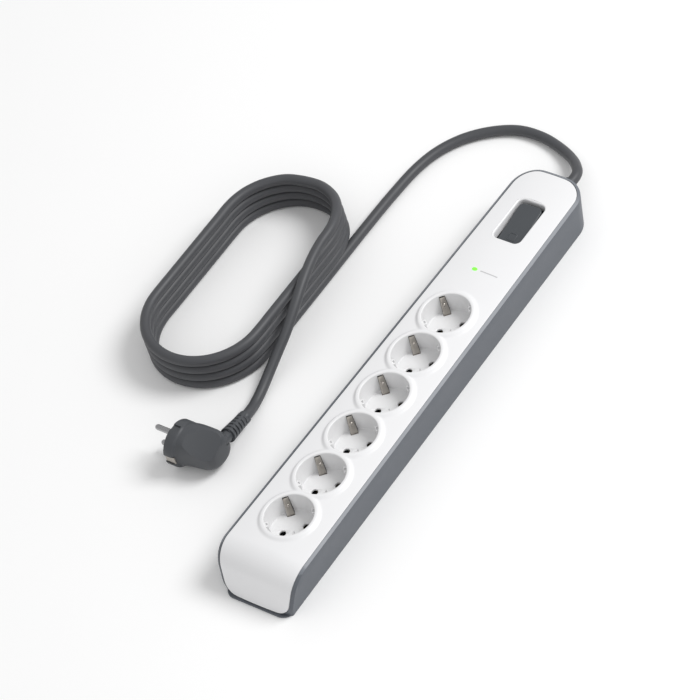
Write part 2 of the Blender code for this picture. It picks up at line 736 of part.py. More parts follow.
def build_plug_pin(index, z, material):
    profile = [(0, -161.0), (1.2, -160.8), (2.1, -159.8), (PLUG_PIN_R, -158.2),
               (PLUG_PIN_R, -130.6), (0, -130.6)]
    pin = turned(f"plug_pin_{index}", profile, (0, PLUG_Y, z), (1, 0, 0), 16, material)
    return finish(pin)


def build_plug_earth(name, side, material):
    y = PLUG_Y + side * 16.7
    strip = box(name, (-141.0, y, PLUG_Z - 3.4), (-131.9, y + side * 1.0, PLUG_Z + 3.4),
                material)
    return finish(strip)


def build_cords(material):
    feed = [(0, GLAND_END_Y + 0.9, EXIT_Z), (0, GLAND_END_Y + 8.5, EXIT_Z),
            (-7.5, 254.5, 12.8), (-20.5, 264.5, 8.0),
            (-37.0, 272.2, 5.2), (-57.0, 277.0, CORD_R + 0.1), (-79.3, 276.0, CORD_R),
            (-100.0, 266.5, CORD_R), (-117.8, 251.0, CORD_R), (-130.0, 231.5, CORD_R),
            (-136.5, 209.0, CORD_R), (-139.2, 175.0, CORD_R), (-139.8, 122.6, CORD_R)]
    tube("cord_feed", feed, CORD_R, 12.0, material, 2)
    end = Vector(RELIEF_AXIS[1])
    along = (end - Vector(RELIEF_AXIS[0])).normalized()
    tail = [(-150.5, 122.0, 40.2), (-145.0, 110.0, 40.2), (-139.5, 92.0, 40.4),
            (-133.0, 66.0, 40.2), (-125.0, 36.0, 35.5), (-122.5, 10.0, 26.0),
            (-123.0, -16.0, 14.5), (-121.5, -40.0, 6.5), (-117.5, -58.0, 5.2),
            tuple(end + along * 7.0), tuple(end + along * 1.0)]
    tube("cord_tail", tail, CORD_R, 12.0, material, 2)


def build_wires(brown, blue, green):
    """Inner cores: from the gland to the switch and earth rail, and on to the rails."""
    tube("core_line", [(-3.0, 211.9, 15.0), (-7.0, 205.0, 10.0), (-11.5, 192.0, 6.0),
                       (-11.0, 178.0, 6.0), (-9.8, 168.6, 7.0)], 1.2, 5.0, brown, 1)
    tube("core_neutral", [(3.0, 211.9, 15.0), (7.0, 205.0, 10.0), (11.5, 192.0, 6.0),
                          (11.0, 178.0, 6.0), (9.8, 168.6, 7.0)], 1.2, 5.0, blue, 1)
    tube("core_earth", [(0.0, 211.8, 20.0), (-6.0, 205.0, 23.0), (-12.0, 197.0, 23.0),
                        (-18.4, 188.0, 18.0), (-18.4, 165.0, 9.0), (-16.0, 130.0, 7.0),
                        (-5.0, 106.0, 12.0),
                        (0.0, 98.6, 13.6)], 1.2, 7.0, green, 1)
    for name, side, colour in (("lead_line", -1, brown), ("lead_neutral", 1, blue)):
        tube(name, [(side * 5.6, 175.2, 6.6), (side * 2.4, 171.5, 5.4), (side * 2.0, 165.0, 5.0),
                    (side * 2.0, 120.0, 5.0), (side * 4.0, 105.0, 6.5),
                    (side * 6.72, 98.6, 8.0)], 1.2, 7.0, colour, 1)


def build_all():
    white = make_material("panel_white", (0.86, 0.86, 0.86), roughness=0.32)
    cup_white = make_material("cup_white", (0.84, 0.84, 0.84), roughness=0.35)
    grey = make_material("tub_grey", (0.072, 0.082, 0.096), roughness=0.45)
    dark = make_material("rocker_grey", (0.05, 0.056, 0.064), roughness=0.4)
    cord = make_material("cord_grey", (0.07, 0.075, 0.085), roughness=0.5)
    plug = make_material("plug_grey", (0.075, 0.08, 0.09), roughness=0.5)
    steel = make_material("plated_steel", (0.42, 0.40, 0.37), 1.0, 0.35)
    pin = make_material("pin_nickel", (0.6, 0.6, 0.6), 1.0, 0.25)
    brass = make_material("brass", (0.65, 0.45, 0.18), 1.0, 0.35)
    black = make_material("switch_black", (0.02, 0.02, 0.022), roughness=0.5)
    tray = make_material("carrier_plastic", (0.55, 0.55, 0.52), roughness=0.6)
    board = make_material("board_green", (0.03, 0.16, 0.06), roughness=0.5)
    blue_disc = make_material("varistor_blue", (0.03, 0.12, 0.4), roughness=0.4)
    fuse = make_material("fuse_silver", (0.6, 0.6, 0.58), 1.0, 0.4)
    glow = make_material("lens_green", (0.12, 0.8, 0.2), roughness=0.25, emission=1.5)
    led = make_material("led_green", (0.2, 0.7, 0.25), roughness=0.3)
    brown = make_material("core_brown", (0.16, 0.05, 0.02), roughness=0.5)
    blue = make_material("core_blue", (0.03, 0.15, 0.5), roughness=0.5)
    earth = make_material("core_green", (0.15, 0.45, 0.05), roughness=0.5)

    build_top_cover(white)
    build_housing_tub(grey)
    for index, y in enumerate(socket_ys(), 1):
        build_socket_cup(index, y, cup_white)
        build_earth_clip(index, y, steel)
    x = PIN_OFFSET * PIN_DIR.x
    build_fork_rail("line_rail", -x, -1, brass)
    build_fork_rail("neutral_rail", x, 1, brass)
    build_earth_rail(brass)
    build_rail_carrier(tray)
    build_surge_board(board)
    for index, (vx, vy) in enumerate(((-9.0, 122.0), (8.0, 122.0), (8.0, 112.0)), 1):
        build_varistor(index, vx, vy, blue_disc)
    build_thermal_fuse(fuse)
    build_status_led(led)
    build_led_lens(glow)
    build_switch_body(black)
    build_rocker(dark)
    for pole, px in (("line", -6.0), ("neutral", 6.0)):
        build_contact_plate(f"contact_plate_{pole}", px, brass)
        build_terminal(f"terminal_{pole}_in", px, SWITCH_Y, 15.2, brass)
        build_terminal(f"terminal_{pole}_out", px, SWITCH_Y + 10.0, 14.1, brass)
    build_gland(cord)
    for index, (sx, sy) in enumerate(screw_points(), 1):
        build_screw(index, sx, sy, steel)
    build_wires(brown, blue, earth)
    build_cords(cord)
    build_hank(cord)
    build_plug_relief(plug)
    build_plug_body(plug)
    for index, side in ((1, 1), (2, -1)):
        build_plug_pin(index, PLUG_Z + side * PIN_OFFSET, pin)
    build_plug_earth("plug_earth_near", -1, steel)
    build_plug_earth("plug_earth_far", 1, steel)


clear_scene()
build_all()
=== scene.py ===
"""Looks for the power strip: fine surfaces, the real cord, materials, camera and light.

Lengths are millimetres and MM turns them into metres. The camera, the lights and the
textures are in metres already.
"""
import math

import bmesh
import bpy
from mathutils import Matrix, Vector


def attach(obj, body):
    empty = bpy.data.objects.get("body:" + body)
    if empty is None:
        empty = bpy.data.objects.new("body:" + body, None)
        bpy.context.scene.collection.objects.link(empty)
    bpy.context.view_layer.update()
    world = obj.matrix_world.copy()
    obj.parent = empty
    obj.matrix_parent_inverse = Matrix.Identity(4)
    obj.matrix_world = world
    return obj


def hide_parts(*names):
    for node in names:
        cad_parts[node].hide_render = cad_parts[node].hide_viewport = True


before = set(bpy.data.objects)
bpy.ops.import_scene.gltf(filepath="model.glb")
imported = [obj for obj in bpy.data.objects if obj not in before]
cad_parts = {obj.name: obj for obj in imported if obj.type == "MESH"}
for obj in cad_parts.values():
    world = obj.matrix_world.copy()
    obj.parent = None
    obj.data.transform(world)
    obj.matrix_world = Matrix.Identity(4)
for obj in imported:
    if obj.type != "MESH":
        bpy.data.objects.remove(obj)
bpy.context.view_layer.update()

MM = 0.001

# ---- the strip, as in the CAD -------------------------------------------------
NOSE_Y, TAIL_Y = -222.3, 222.3
EDGE_Z, PANEL_Z, CROWN, PANEL_LOW_Z = 36.35, 37.8, 2.8, 34.0
BAND_W, LAND, GAP = 2.55, 0.12, 0.3
TAIL_R, PANEL_TAIL_R, NOSE_R = 21.0, 17.6, 9.0
ROLL_R, ROLL_Y, ROLL_ANGLE = 22.0, -192.2, math.radians(73.0)
SHEET_T, SHEET_FOOT_Z = 2.0, 2.0
LIP_T, LIP_HALF_X, LIP_HALF_Y = 1.2, 31.6, 20.0
FLOOR_T, WALL_T, SHELF_W, FOOT_TOP_Z = 2.2, 2.4, 1.5, 9.0
SOCKET_PITCH = 44.09
SOCKET_YS = [61.0 - SOCKET_PITCH * k for k in range(6)]
RIM_Z, RECESS_R, FLOOR_Z, LIP_R = 42.0, 20.0, 23.4, 21.5
PIN_OFFSET = 9.5
PLATEAU_R, PLATEAU_FOOT = 22.2, 25.6
SWITCH_Y, PIVOT_Z, REST_TILT = 167.0, 28.5, math.radians(8.4)
ROCKER_HALF_X, ROCKER_HALF_Y, ROCKER_CORNER, ROCKER_TOP_Z = 11.0, 20.5, 5.0, 36.3
OPENING, SHOULDER, OPENING_FOOT_Z = (12.7, 21.9, 5.2), 1.5, 32.3
LED = (-5.0, 109.6)
SCREWS = [(s * x, y) for x, y in ((20.0, -181.4), (22.0, -49.2), (16.0, 202.0)) for s in (-1, 1)]

# ---- the cord -------------------------------------------------------------------
CORD_R = 4.4
EXIT_Z, GLAND_END_Y = 16.0, 236.0
HANK_X, HANK_R, HANK_NEAR_Y, HANK_FAR_Y = -190.6, 51.1, -9.7, 90.5
HANK_TURNS, FIRST_TURN_SKIPS, LAST_TURN_SKIPS, COIL_STEP = 4, 20.0, 95.0, 14.0
RELIEF = (Vector((-108.0, -102.0, 18.6)), Vector((-112.4, -74.0, 10.0)))
PLUG_Y, PLUG_Z, PLUG_R = -122.8, 19.0, 19.0
GRIP_MIDDLE, GRIP_NORMAL = (-113.9, -126.1, 28.1), (0.406, -0.393, 0.825)
GRIP_R, GRIP_DEPTH = 90.0, 0.8


# ==============================================================================
# mesh helpers
# ==============================================================================
def add_mesh(name, verts, faces, material, smooth=40.0):
    mesh = bpy.data.meshes.new(name)
    mesh.from_pydata([tuple(c * MM for c in v) for v in verts], [], faces)
    work = bmesh.new()
    work.from_mesh(mesh)
    bmesh.ops.remove_doubles(work, verts=work.verts, dist=2e-7)
    bmesh.ops.recalc_face_normals(work, faces=work.faces)
    work.to_mesh(mesh)
    work.free()
    mesh.materials.append(material)
    mesh.shade_smooth()
    mesh.set_sharp_from_angle(angle=math.radians(smooth))
    obj = bpy.data.objects.new(name, mesh)
    bpy.context.scene.collection.objects.link(obj)
    return obj


def grid_faces(rows, columns, closed_columns=False, closed_rows=False):
    faces = []
    for r in range(rows if closed_rows else rows - 1):
        a, b = r * columns, ((r + 1) % rows) * columns
        for k in range(columns if closed_columns else columns - 1):
            j = (k + 1) % columns
            faces.append((a + k, a + j, b + j, b + k))
    return faces


def loft(name, rings, material, caps=True, smooth=40.0, closed_rows=False):
    count = len(rings[0])
    verts = [p for ring in rings for p in ring]
    faces = grid_faces(len(rings), count, True, closed_rows)
    if caps:
        faces.append(tuple(range(count)))
        faces.append(tuple(range((len(rings) - 1) * count, len(rings) * count)))
    return add_mesh(name, verts, faces, material, smooth)


def frame_of(axis):
    return Vector((0, 0, 1)).rotation_difference(Vector(axis)).to_matrix()


def turned(name, profile, centre, material, axis=(0, 0, 1), segments=64, smooth=40.0):
    """A solid of revolution from (radius, height) pairs, closed at both ends."""
    turn, rings = frame_of(axis), []
    for radius, height in profile:
        ring = []
        for k in range(segments):
            a = 2 * math.pi * k / segments
            p = Vector((radius * math.cos(a), radius * math.sin(a), height))
            ring.append(tuple(turn @ p + Vector(centre)))
        rings.append(ring)
    return loft(name, rings, material, True, smooth)


def rounded_rect(half_x, half_y, radius, centre=(0.0, 0.0), steps=12):
    points = []
    for quarter, (sx, sy) in enumerate(((1, 1), (-1, 1), (-1, -1), (1, -1))):
        cx = centre[0] + sx * (half_x - radius)
        cy = centre[1] + sy * (half_y - radius)
        for k in range(steps + 1):
            a = math.radians(90.0 * quarter + 90.0 * k / steps)
            points.append((cx + radius * math.cos(a), cy + radius * math.sin(a)))
    return points


def block(name, low, high, material):
    verts = [(x, y, z) for x in (low[0], high[0]) for y in (low[1], high[1])
             for z in (low[2], high[2])]
    faces = [(0, 1, 3, 2), (4, 6, 7, 5), (0, 4, 5, 1), (2, 3, 7, 6), (0, 2, 6, 4), (1, 5, 7, 3)]
    return add_mesh(name, verts, faces, material)


def combine(target, tool, operation="DIFFERENCE"):
    modifier = target.modifiers.new("cut", "BOOLEAN")
    modifier.operation = operation
    modifier.solver = "EXACT"
    modifier.object = tool
    apply_modifiers(target)
    bpy.data.objects.remove(tool, do_unlink=True)
    return target


def apply_modifiers(obj):
    graph = bpy.context.evaluated_depsgraph_get()
    result = bpy.data.meshes.new_from_object(obj.evaluated_get(graph))
    obj.modifiers.clear()
    obj.data = result


def soften(obj, width, segments=3, angle=35.0):
    """Round the real edges a little and keep the flat faces flat."""
    bevel = obj.modifiers.new("soft_edges", "BEVEL")
    bevel.width = width * MM
    bevel.segments = segments
    bevel.limit_method = "ANGLE"
    bevel.angle_limit = math.radians(angle)
    bevel.harden_normals = True
    return obj


def ride(obj, body="strip"):
    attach(obj, body)
    return obj


# ==============================================================================
# materials
# ==============================================================================
def material_base(name):
    material = bpy.data.materials.new(name)
    material.use_nodes = True
    nodes, links = material.node_tree.nodes, material.node_tree.links
    return material, nodes, links, nodes["Principled BSDF"]


def noise(nodes, links, scale, detail=4.0, stretch=(1, 1, 1)):
    place = nodes.new("ShaderNodeTexCoord")
    mapping = nodes.new("ShaderNodeMapping")
    mapping.inputs["Scale"].default_value = stretch
    texture = nodes.new("ShaderNodeTexNoise")
    texture.inputs["Scale"].default_value = scale
    texture.inputs["Detail"].default_value = detail
    links.new(place.outputs["Object"], mapping.inputs["Vector"])
    links.new(mapping.outputs["Vector"], texture.inputs["Vector"])
    return texture.outputs["Fac"]


def ramp(nodes, links, factor, low, high):
    """Carry a 0..1 factor to a value range."""
    node = nodes.new("ShaderNodeMapRange")
    node.inputs["From Min"].default_value = 0.3
    node.inputs["From Max"].default_value = 0.7
    node.inputs["To Min"].default_value = low
    node.inputs["To Max"].default_value = high
    links.new(factor, node.inputs["Value"])
    return node.outputs["Result"]


def tint(nodes, links, factor, dark, light):
    node = nodes.new("ShaderNodeMix")
    node.data_type = "RGBA"
    node.inputs["A"].default_value = (*dark, 1.0)
    node.inputs["B"].default_value = (*light, 1.0)
    links.new(factor, node.inputs["Factor"])
    return node.outputs["Result"]


def bump(nodes, links, height, shader, strength, distance):
    node = nodes.new("ShaderNodeBump")
    node.inputs["Strength"].default_value = strength
    node.inputs["Distance"].default_value = distance
    links.new(height, node.inputs["Height"])
    links.new(node.outputs["Normal"], shader.inputs["Normal"])


def moulded(name, colour, roughness, grain=1400.0, depth=0.00002, strength=0.25, spread=0.06,
            coat=0.0):
    """Moulded plastic: faint cloudiness, a fine spark-eroded grain and uneven sheen."""
    material, nodes, links, shader = material_base(name)
    cloud = noise(nodes, links, 28.0, 5.0)
    dark = tuple(c * (1 - spread) for c in colour)
    light = tuple(min(1.0, c * (1 + spread)) for c in colour)
    links.new(tint(nodes, links, cloud, dark, light), shader.inputs["Base Color"])
    fine = noise(nodes, links, grain, 3.0)
    links.new(ramp(nodes, links, cloud, roughness * 0.9, roughness * 1.1),
              shader.inputs["Roughness"])
    bump(nodes, links, fine, shader, strength, depth)
    shader.inputs["Coat Weight"].default_value = coat
    shader.inputs["Coat Roughness"].default_value = 0.25
    return material


def metal(name, colour, roughness, stretch=(1, 1, 12), scale=300.0, spread=0.15):
    """Stamped or turned metal with drawn lines and slightly dulled patches."""
    material, nodes, links, shader = material_base(name)
    lines = noise(nodes, links, scale, 4.0, stretch)
    patches = noise(nodes, links, 60.0, 4.0)
    dark = tuple(c * (1 - spread) for c in colour)
    links.new(tint(nodes, links, patches, dark, colour), shader.inputs["Base Color"])
    links.new(ramp(nodes, links, lines, roughness * 0.8, roughness * 1.3),
              shader.inputs["Roughness"])
    shader.inputs["Metallic"].default_value = 1.0
    bump(nodes, links, lines, shader, 0.3, 0.00002)
    return material


def glow_material():
    """The lit light guide: brighter in its middle, deeper green at its edge."""
    material, nodes, links, shader = material_base("lens_glow")
    facing = nodes.new("ShaderNodeLayerWeight")
    facing.inputs["Blend"].default_value = 0.35
    colour = tint(nodes, links, facing.outputs["Facing"], (0.20, 1.0, 0.06), (0.04, 0.50, 0.02))
    links.new(colour, shader.inputs["Base Color"])
    links.new(colour, shader.inputs["Emission Color"])
    shader.inputs["Emission Strength"].default_value = 0.75
    shader.inputs["Roughness"].default_value = 0.2
    return material


WHITE = moulded("panel_white_satin", (0.80, 0.80, 0.81), 0.34, 2200.0, 0.00001, 0.15, 0.012)
WELL = moulded("well_white_satin", (0.78, 0.78, 0.785), 0.38, 2200.0, 0.00001, 0.15, 0.015)
GREY = moulded("tub_slate_matt", (0.098, 0.108, 0.125), 0.46, 1700.0, 0.00003, 0.35, 0.06)
# The band's lighter slate is a painted highlight on the up-facing bevel; only its lower roughness
# is a real finish.
BAND_PAINTED_HIGHLIGHT = moulded("band_slate_painted_highlight", (0.155, 0.168, 0.19), 0.36, 1700.0, 0.00002, 0.2, 0.05)
ROCKER = moulded("rocker_slate", (0.060, 0.066, 0.073), 0.34, 1900.0, 0.00002, 0.25, 0.06)
CORD = moulded("cord_sheath", (0.060, 0.062, 0.068), 0.50, 900.0, 0.00004, 0.35, 0.07)
PLUG = moulded("plug_moulding", (0.060, 0.064, 0.071), 0.46, 1500.0, 0.00004, 0.4, 0.07)
LABEL = moulded("label_ink_grey", (0.52, 0.52, 0.53), 0.6, 3000.0, 0.00001, 0.2, 0.1)
BLACK = moulded("switch_black_nylon", (0.02, 0.02, 0.022), 0.5, 1200.0, 0.00003, 0.3, 0.1)
TRAY = moulded("carrier_natural", (0.50, 0.50, 0.46), 0.6, 1200.0, 0.00003, 0.3, 0.06)
BOARD = moulded("board_solder_mask", (0.02, 0.16, 0.06), 0.35, 700.0, 0.00004, 0.5, 0.2)
DISC = moulded("varistor_epoxy", (0.02, 0.10, 0.38), 0.3, 400.0, 0.0001, 0.5, 0.12)
LED_RESIN = moulded("led_resin_green", (0.15, 0.6, 0.2), 0.25, 900.0, 0.00001, 0.1, 0.08)
BROWN = moulded("core_brown_pvc", (0.15, 0.05, 0.02), 0.45, 900.0, 0.00003, 0.3, 0.08)
BLUE = moulded("core_blue_pvc", (0.02, 0.12, 0.45), 0.45, 900.0, 0.00003, 0.3, 0.08)
GREEN = moulded("core_green_pvc", (0.14, 0.42, 0.04), 0.45, 900.0, 0.00003, 0.3, 0.08)
SPRING = metal("earth_spring_steel", (0.50, 0.47, 0.43), 0.34)
NICKEL = metal("pin_nickel_plate", (0.42, 0.42, 0.43), 0.28, (12, 1, 1))
ZINC = metal("screw_zinc", (0.5, 0.5, 0.5), 0.35, (1, 1, 1))
BRASS = metal("contact_brass", (0.62, 0.43, 0.17), 0.32)
CAN = metal("fuse_can", (0.55, 0.55, 0.53), 0.35, (1, 1, 1))
GLOW = glow_material()


# ==============================================================================
# camera first, then the cord
# ==============================================================================
def add_camera():
    """The view the photograph was taken from: a long lens, tilted 19 degrees."""
    azimuth, elevation, roll = (math.radians(v) for v in (48.8437, 46.8489, -19.2231))
    back = Vector((math.sin(azimuth) * math.cos(elevation),
                   -math.cos(azimuth) * math.cos(elevation), math.sin(elevation)))
    right = (-back).cross(Vector((0, 0, 1))).normalized()
    up = right.cross(-back)
    across = right * math.cos(roll) + up * math.sin(roll)
    upward = up * math.cos(roll) - right * math.sin(roll)
    data = bpy.data.cameras.new("camera")
    data.lens, data.sensor_width = 236.74, 36.0
    data.clip_end = 50.0
    camera = bpy.data.objects.new("camera", data)
    turn = Matrix((across, upward, back)).transposed().to_4x4()
    place = Vector((1.80481, -1.62369, 2.67007))
    camera.matrix_world = Matrix.Translation(place) @ turn
    bpy.context.scene.collection.objects.link(camera)
    bpy.context.scene.camera = camera


def smooth_path(anchors, spacing):
    """A centripetal curve through the anchors, read off at an even spacing."""
    points = [Vector(a) for a in anchors]
    points = [2 * points[0] - points[1]] + points + [2 * points[-1] - points[-2]]
    fine = []
    for i in range(1, len(points) - 2):
        p0, p1, p2, p3 = points[i - 1:i + 3]
        t1 = math.sqrt((p1 - p0).length)
        t2 = t1 + math.sqrt((p2 - p1).length)
        t3 = t2 + math.sqrt((p3 - p2).length)
        for k in range(16):
            t = t1 + (t2 - t1) * k / 16.0
            a1 = p0 * (t1 - t) / t1 + p1 * t / t1
            a2 = p1 * (t2 - t) / (t2 - t1) + p2 * (t - t1) / (t2 - t1)
            a3 = p2 * (t3 - t) / (t3 - t2) + p3 * (t - t2) / (t3 - t2)
            b1 = a1 * (t2 - t) / t2 + a2 * t / t2
            b2 = a2 * (t3 - t) / (t3 - t1) + a3 * (t - t1) / (t3 - t1)
            fine.append(b1 * (t2 - t) / (t2 - t1) + b2 * (t - t1) / (t2 - t1))
    fine.append(points[-2])
    total = sum((b - a).length for a, b in zip(fine, fine[1:]))
    steps = max(2, round(total / spacing))
    even, walked, target = [fine[0]], 0.0, total / steps
    for a, b in zip(fine, fine[1:]):
        length = (b - a).length
        while walked + length >= target * len(even) and len(even) < steps:
            even.append(a.lerp(b, (target * len(even) - walked) / length))
        walked += length
    even.append(fine[-1])
    return even


def loop_point(travel, height):
    """A point on the hank's loop; travel 0 is the far end of its right-hand run, and the
    cord goes down that run, round the near end, up the left and round the far end."""
    run = HANK_FAR_Y - HANK_NEAR_Y
    arc = math.pi * HANK_R
    travel %= 2 * (run + arc)
    if travel < run:
        return Vector((HANK_X + HANK_R, HANK_FAR_Y - travel, height))
    travel -= run
    if travel < arc:
        a = travel / HANK_R
        return Vector((HANK_X + HANK_R * math.cos(a), HANK_NEAR_Y - HANK_R * math.sin(a), height))
    travel -= arc
    if travel < run:
        return Vector((HANK_X - HANK_R, HANK_NEAR_Y + travel, height))
    a = (travel - run) / HANK_R
    return Vector((HANK_X - HANK_R * math.cos(a), HANK_FAR_Y + HANK_R * math.sin(a), height))


def cord_route():
    """From the strip's exit, down and round the hank turn by turn, then down to the plug."""
    feed = [(0, TAIL_Y - 2.0, EXIT_Z), (0, GLAND_END_Y, EXIT_Z), (0, GLAND_END_Y + 8.5, EXIT_Z),
            (-7.5, 254.5, 12.8), (-20.5, 264.5, 8.0), (-37.0, 272.2, 5.2),
            (-57.0, 277.0, CORD_R + 0.1), (-79.3, 276.0, CORD_R), (-100.0, 266.5, CORD_R),
            (-117.8, 251.0, CORD_R), (-130.0, 231.5, CORD_R), (-136.5, 209.0, CORD_R),
            (-139.2, 175.0, CORD_R), (-139.8, 130.0, CORD_R)]
    run = HANK_FAR_Y - HANK_NEAR_Y
    turn = 2 * run + 2 * math.pi * HANK_R
    climb = 0.5 * math.pi * HANK_R
    coil = []
    top_level = HANK_TURNS - 1
    for level in range(HANK_TURNS):
        travel = FIRST_TURN_SKIPS if level == 0 else 0.0
        stop = turn - LAST_TURN_SKIPS if level == top_level else turn
        while travel < stop - 1.0:
            rise = max(0.0, (travel - (turn - climb)) / climb)
            ease = rise * rise * (3 - 2 * rise) if level < top_level else 0.0
            coil.append(loop_point(travel, CORD_R + 2 * CORD_R * (level + ease)))
            travel += COIL_STEP
    end, along = RELIEF[1], (RELIEF[1] - RELIEF[0]).normalized()
    tail = []
    for degrees, z in ((95, 31.0), (110, 32.4), (125, 34.8), (140, 37.4), (155, 39.3), (170, 40.1)):
        a = math.radians(degrees)
        tail.append((HANK_X - HANK_R * math.cos(a), HANK_FAR_Y + HANK_R * math.sin(a), z))
    tail += [(-139.0, 84.0, 40.3), (-135.8, 66.0, 40.2), (-131.0, 46.0, 38.0),
             (-126.6, 26.0, 32.0), (-123.6, 5.0, 23.0), (-122.4, -16.0, 14.0),
             (-120.6, -34.0, 7.6), (-118.2, -48.0, 5.0), (-115.6, -60.0, 5.6),
             tuple(end + along * 6.0), tuple(end - along * 12.0)]
    return smooth_path(feed + [tuple(p) for p in coil] + tail, 7.0)


def add_cord():
    points = cord_route()
    curve = bpy.data.curves.new("cord", "CURVE")
    curve.dimensions = "3D"
    curve.bevel_depth = CORD_R * MM
    curve.bevel_resolution = 8
    curve.resolution_u = 3
    curve.use_fill_caps = True
    spline = curve.splines.new("BEZIER")
    spline.bezier_points.add(len(points) - 1)
    for target, point in zip(spline.bezier_points, points):
        target.co = point * MM
        target.handle_left_type = target.handle_right_type = "AUTO"
    curve.materials.append(CORD)
    obj = bpy.data.objects.new("cord", curve)
    bpy.context.scene.collection.objects.link(obj)
    ride(obj)
    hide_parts("cord_feed", "cord_hank", "cord_tail")
    length = sum((b - a).length for a, b in zip(points, points[1:])) * MM
    return obj, length


# ==============================================================================
# the housing
# ==============================================================================
def top_half(y):
    """Half the width at the top edge; the strip narrows towards its far end."""
    return 35.84 - 0.0172 * y


def base_half(y):
    """Half the width at the base."""
    return 29.5 - 0.0112 * y


def side_half(y, z):
    return base_half(y) + (top_half(y) - base_half(y)) * z / EDGE_Z


def panel_half(y, z):
    return side_half(y, z) - BAND_W - 0.25


def corner_loss(distance, radius):
    """How much a rounded corner takes off the half width at this distance from the end."""
    if distance >= radius:
        return 0.0
    return radius - math.sqrt(max(radius ** 2 - (radius - distance) ** 2, 0.0))


def stations(tail_y, tail_r, step, lowest=SHEET_FOOT_Z):
    """(y, z, lean, corner loss, crown) from the far end to the foot of the nose."""
    result = []
    for k in range(21):
        a = math.radians(90.0 * (20 - k) / 20)
        result.append((tail_y - tail_r + tail_r * math.sin(a), PANEL_Z, 0.0,
                       tail_r * (1 - math.cos(a)), CROWN))
    count = round((tail_y - tail_r - ROLL_Y) / step)
    for k in range(1, count):
        y = tail_y - tail_r + (ROLL_Y - tail_y + tail_r) * k / count
        result.append((y, PANEL_Z, 0.0, 0.0, CROWN))
    for k in range(29):
        lean = ROLL_ANGLE * k / 28
        result.append((ROLL_Y - ROLL_R * math.sin(lean), PANEL_Z - ROLL_R * (1 - math.cos(lean)),
                       lean, 0.0, CROWN - 1.6 * k / 28))
    y_end, z_end, _, _, crown = result[-1]
    run = (z_end - lowest) / math.sin(ROLL_ANGLE)
    backs = [run * (1 - k / 8) for k in range(1, 8) if run * (1 - k / 8) > NOSE_R]
    backs += [NOSE_R * (1 - math.sin(math.radians(90.0 * k / 14))) for k in range(15)]
    for back in backs:
        along = run - back
        result.append((y_end - along * math.cos(ROLL_ANGLE), z_end - along * math.sin(ROLL_ANGLE),
                       ROLL_ANGLE, corner_loss(back, NOSE_R), crown))
    return result


def on_surface(x, station, depth):
    """A point on the crowned panel, or this far below it."""
    y, z, lean, _, crown = station
    rise = crown * (1.0 - min(1.0, abs(x) / panel_half(y, z)) ** 2) - depth
    return (x, y - rise * math.sin(lean), z + rise * math.cos(lean))


def top_z(x, y):
    return PANEL_Z + CROWN * (1.0 - (abs(x) / panel_half(y, PANEL_Z)) ** 2)


def with_plateau(point):
    """Lift the panel to the flat ring round each socket, with a soft foot."""
    x, y, z = point
    nearest = min(math.hypot(x, y - c) for c in SOCKET_YS)
    if nearest >= PLATEAU_FOOT or z < 36.0:
        return point
    t = min(1.0, (PLATEAU_FOOT - nearest) / (PLATEAU_FOOT - PLATEAU_R))
    t = t * t * (3 - 2 * t)
    return (x, y, z + (RIM_Z - z) * t)


def opening_outline(grow, steps=16):
    return rounded_rect(OPENING[0] + grow, OPENING[1] + grow, OPENING[2] + grow, (0, SWITCH_Y),
                        steps)


def opening_distance(x, y, grow):
    """Signed distance to the switch opening's outline, negative inside."""
    hx, hy, r = OPENING[0] + grow, OPENING[1] + grow, OPENING[2] + grow
    dx, dy = abs(x) - (hx - r), abs(y - SWITCH_Y) - (hy - r)
    return math.hypot(max(dx, 0), max(dy, 0)) + min(max(dx, dy), 0.0) - r


def snap_hole(work, distance, gradient):
    """Open a hole in the panel's top: drop the faces inside and pull the edge's points
    onto its outline."""
    inside = {v for v in work.verts if v.co.z > PANEL_LOW_Z * MM and distance(v.co) < 0}
    doomed = [f for f in work.faces if all(v in inside for v in f.verts)]
    bmesh.ops.delete(work, geom=doomed, context="FACES")
    for v in [v for v in inside if v.is_valid and v.link_faces]:
        for _ in range(3):
            v.co += gradient(v.co) * -distance(v.co)


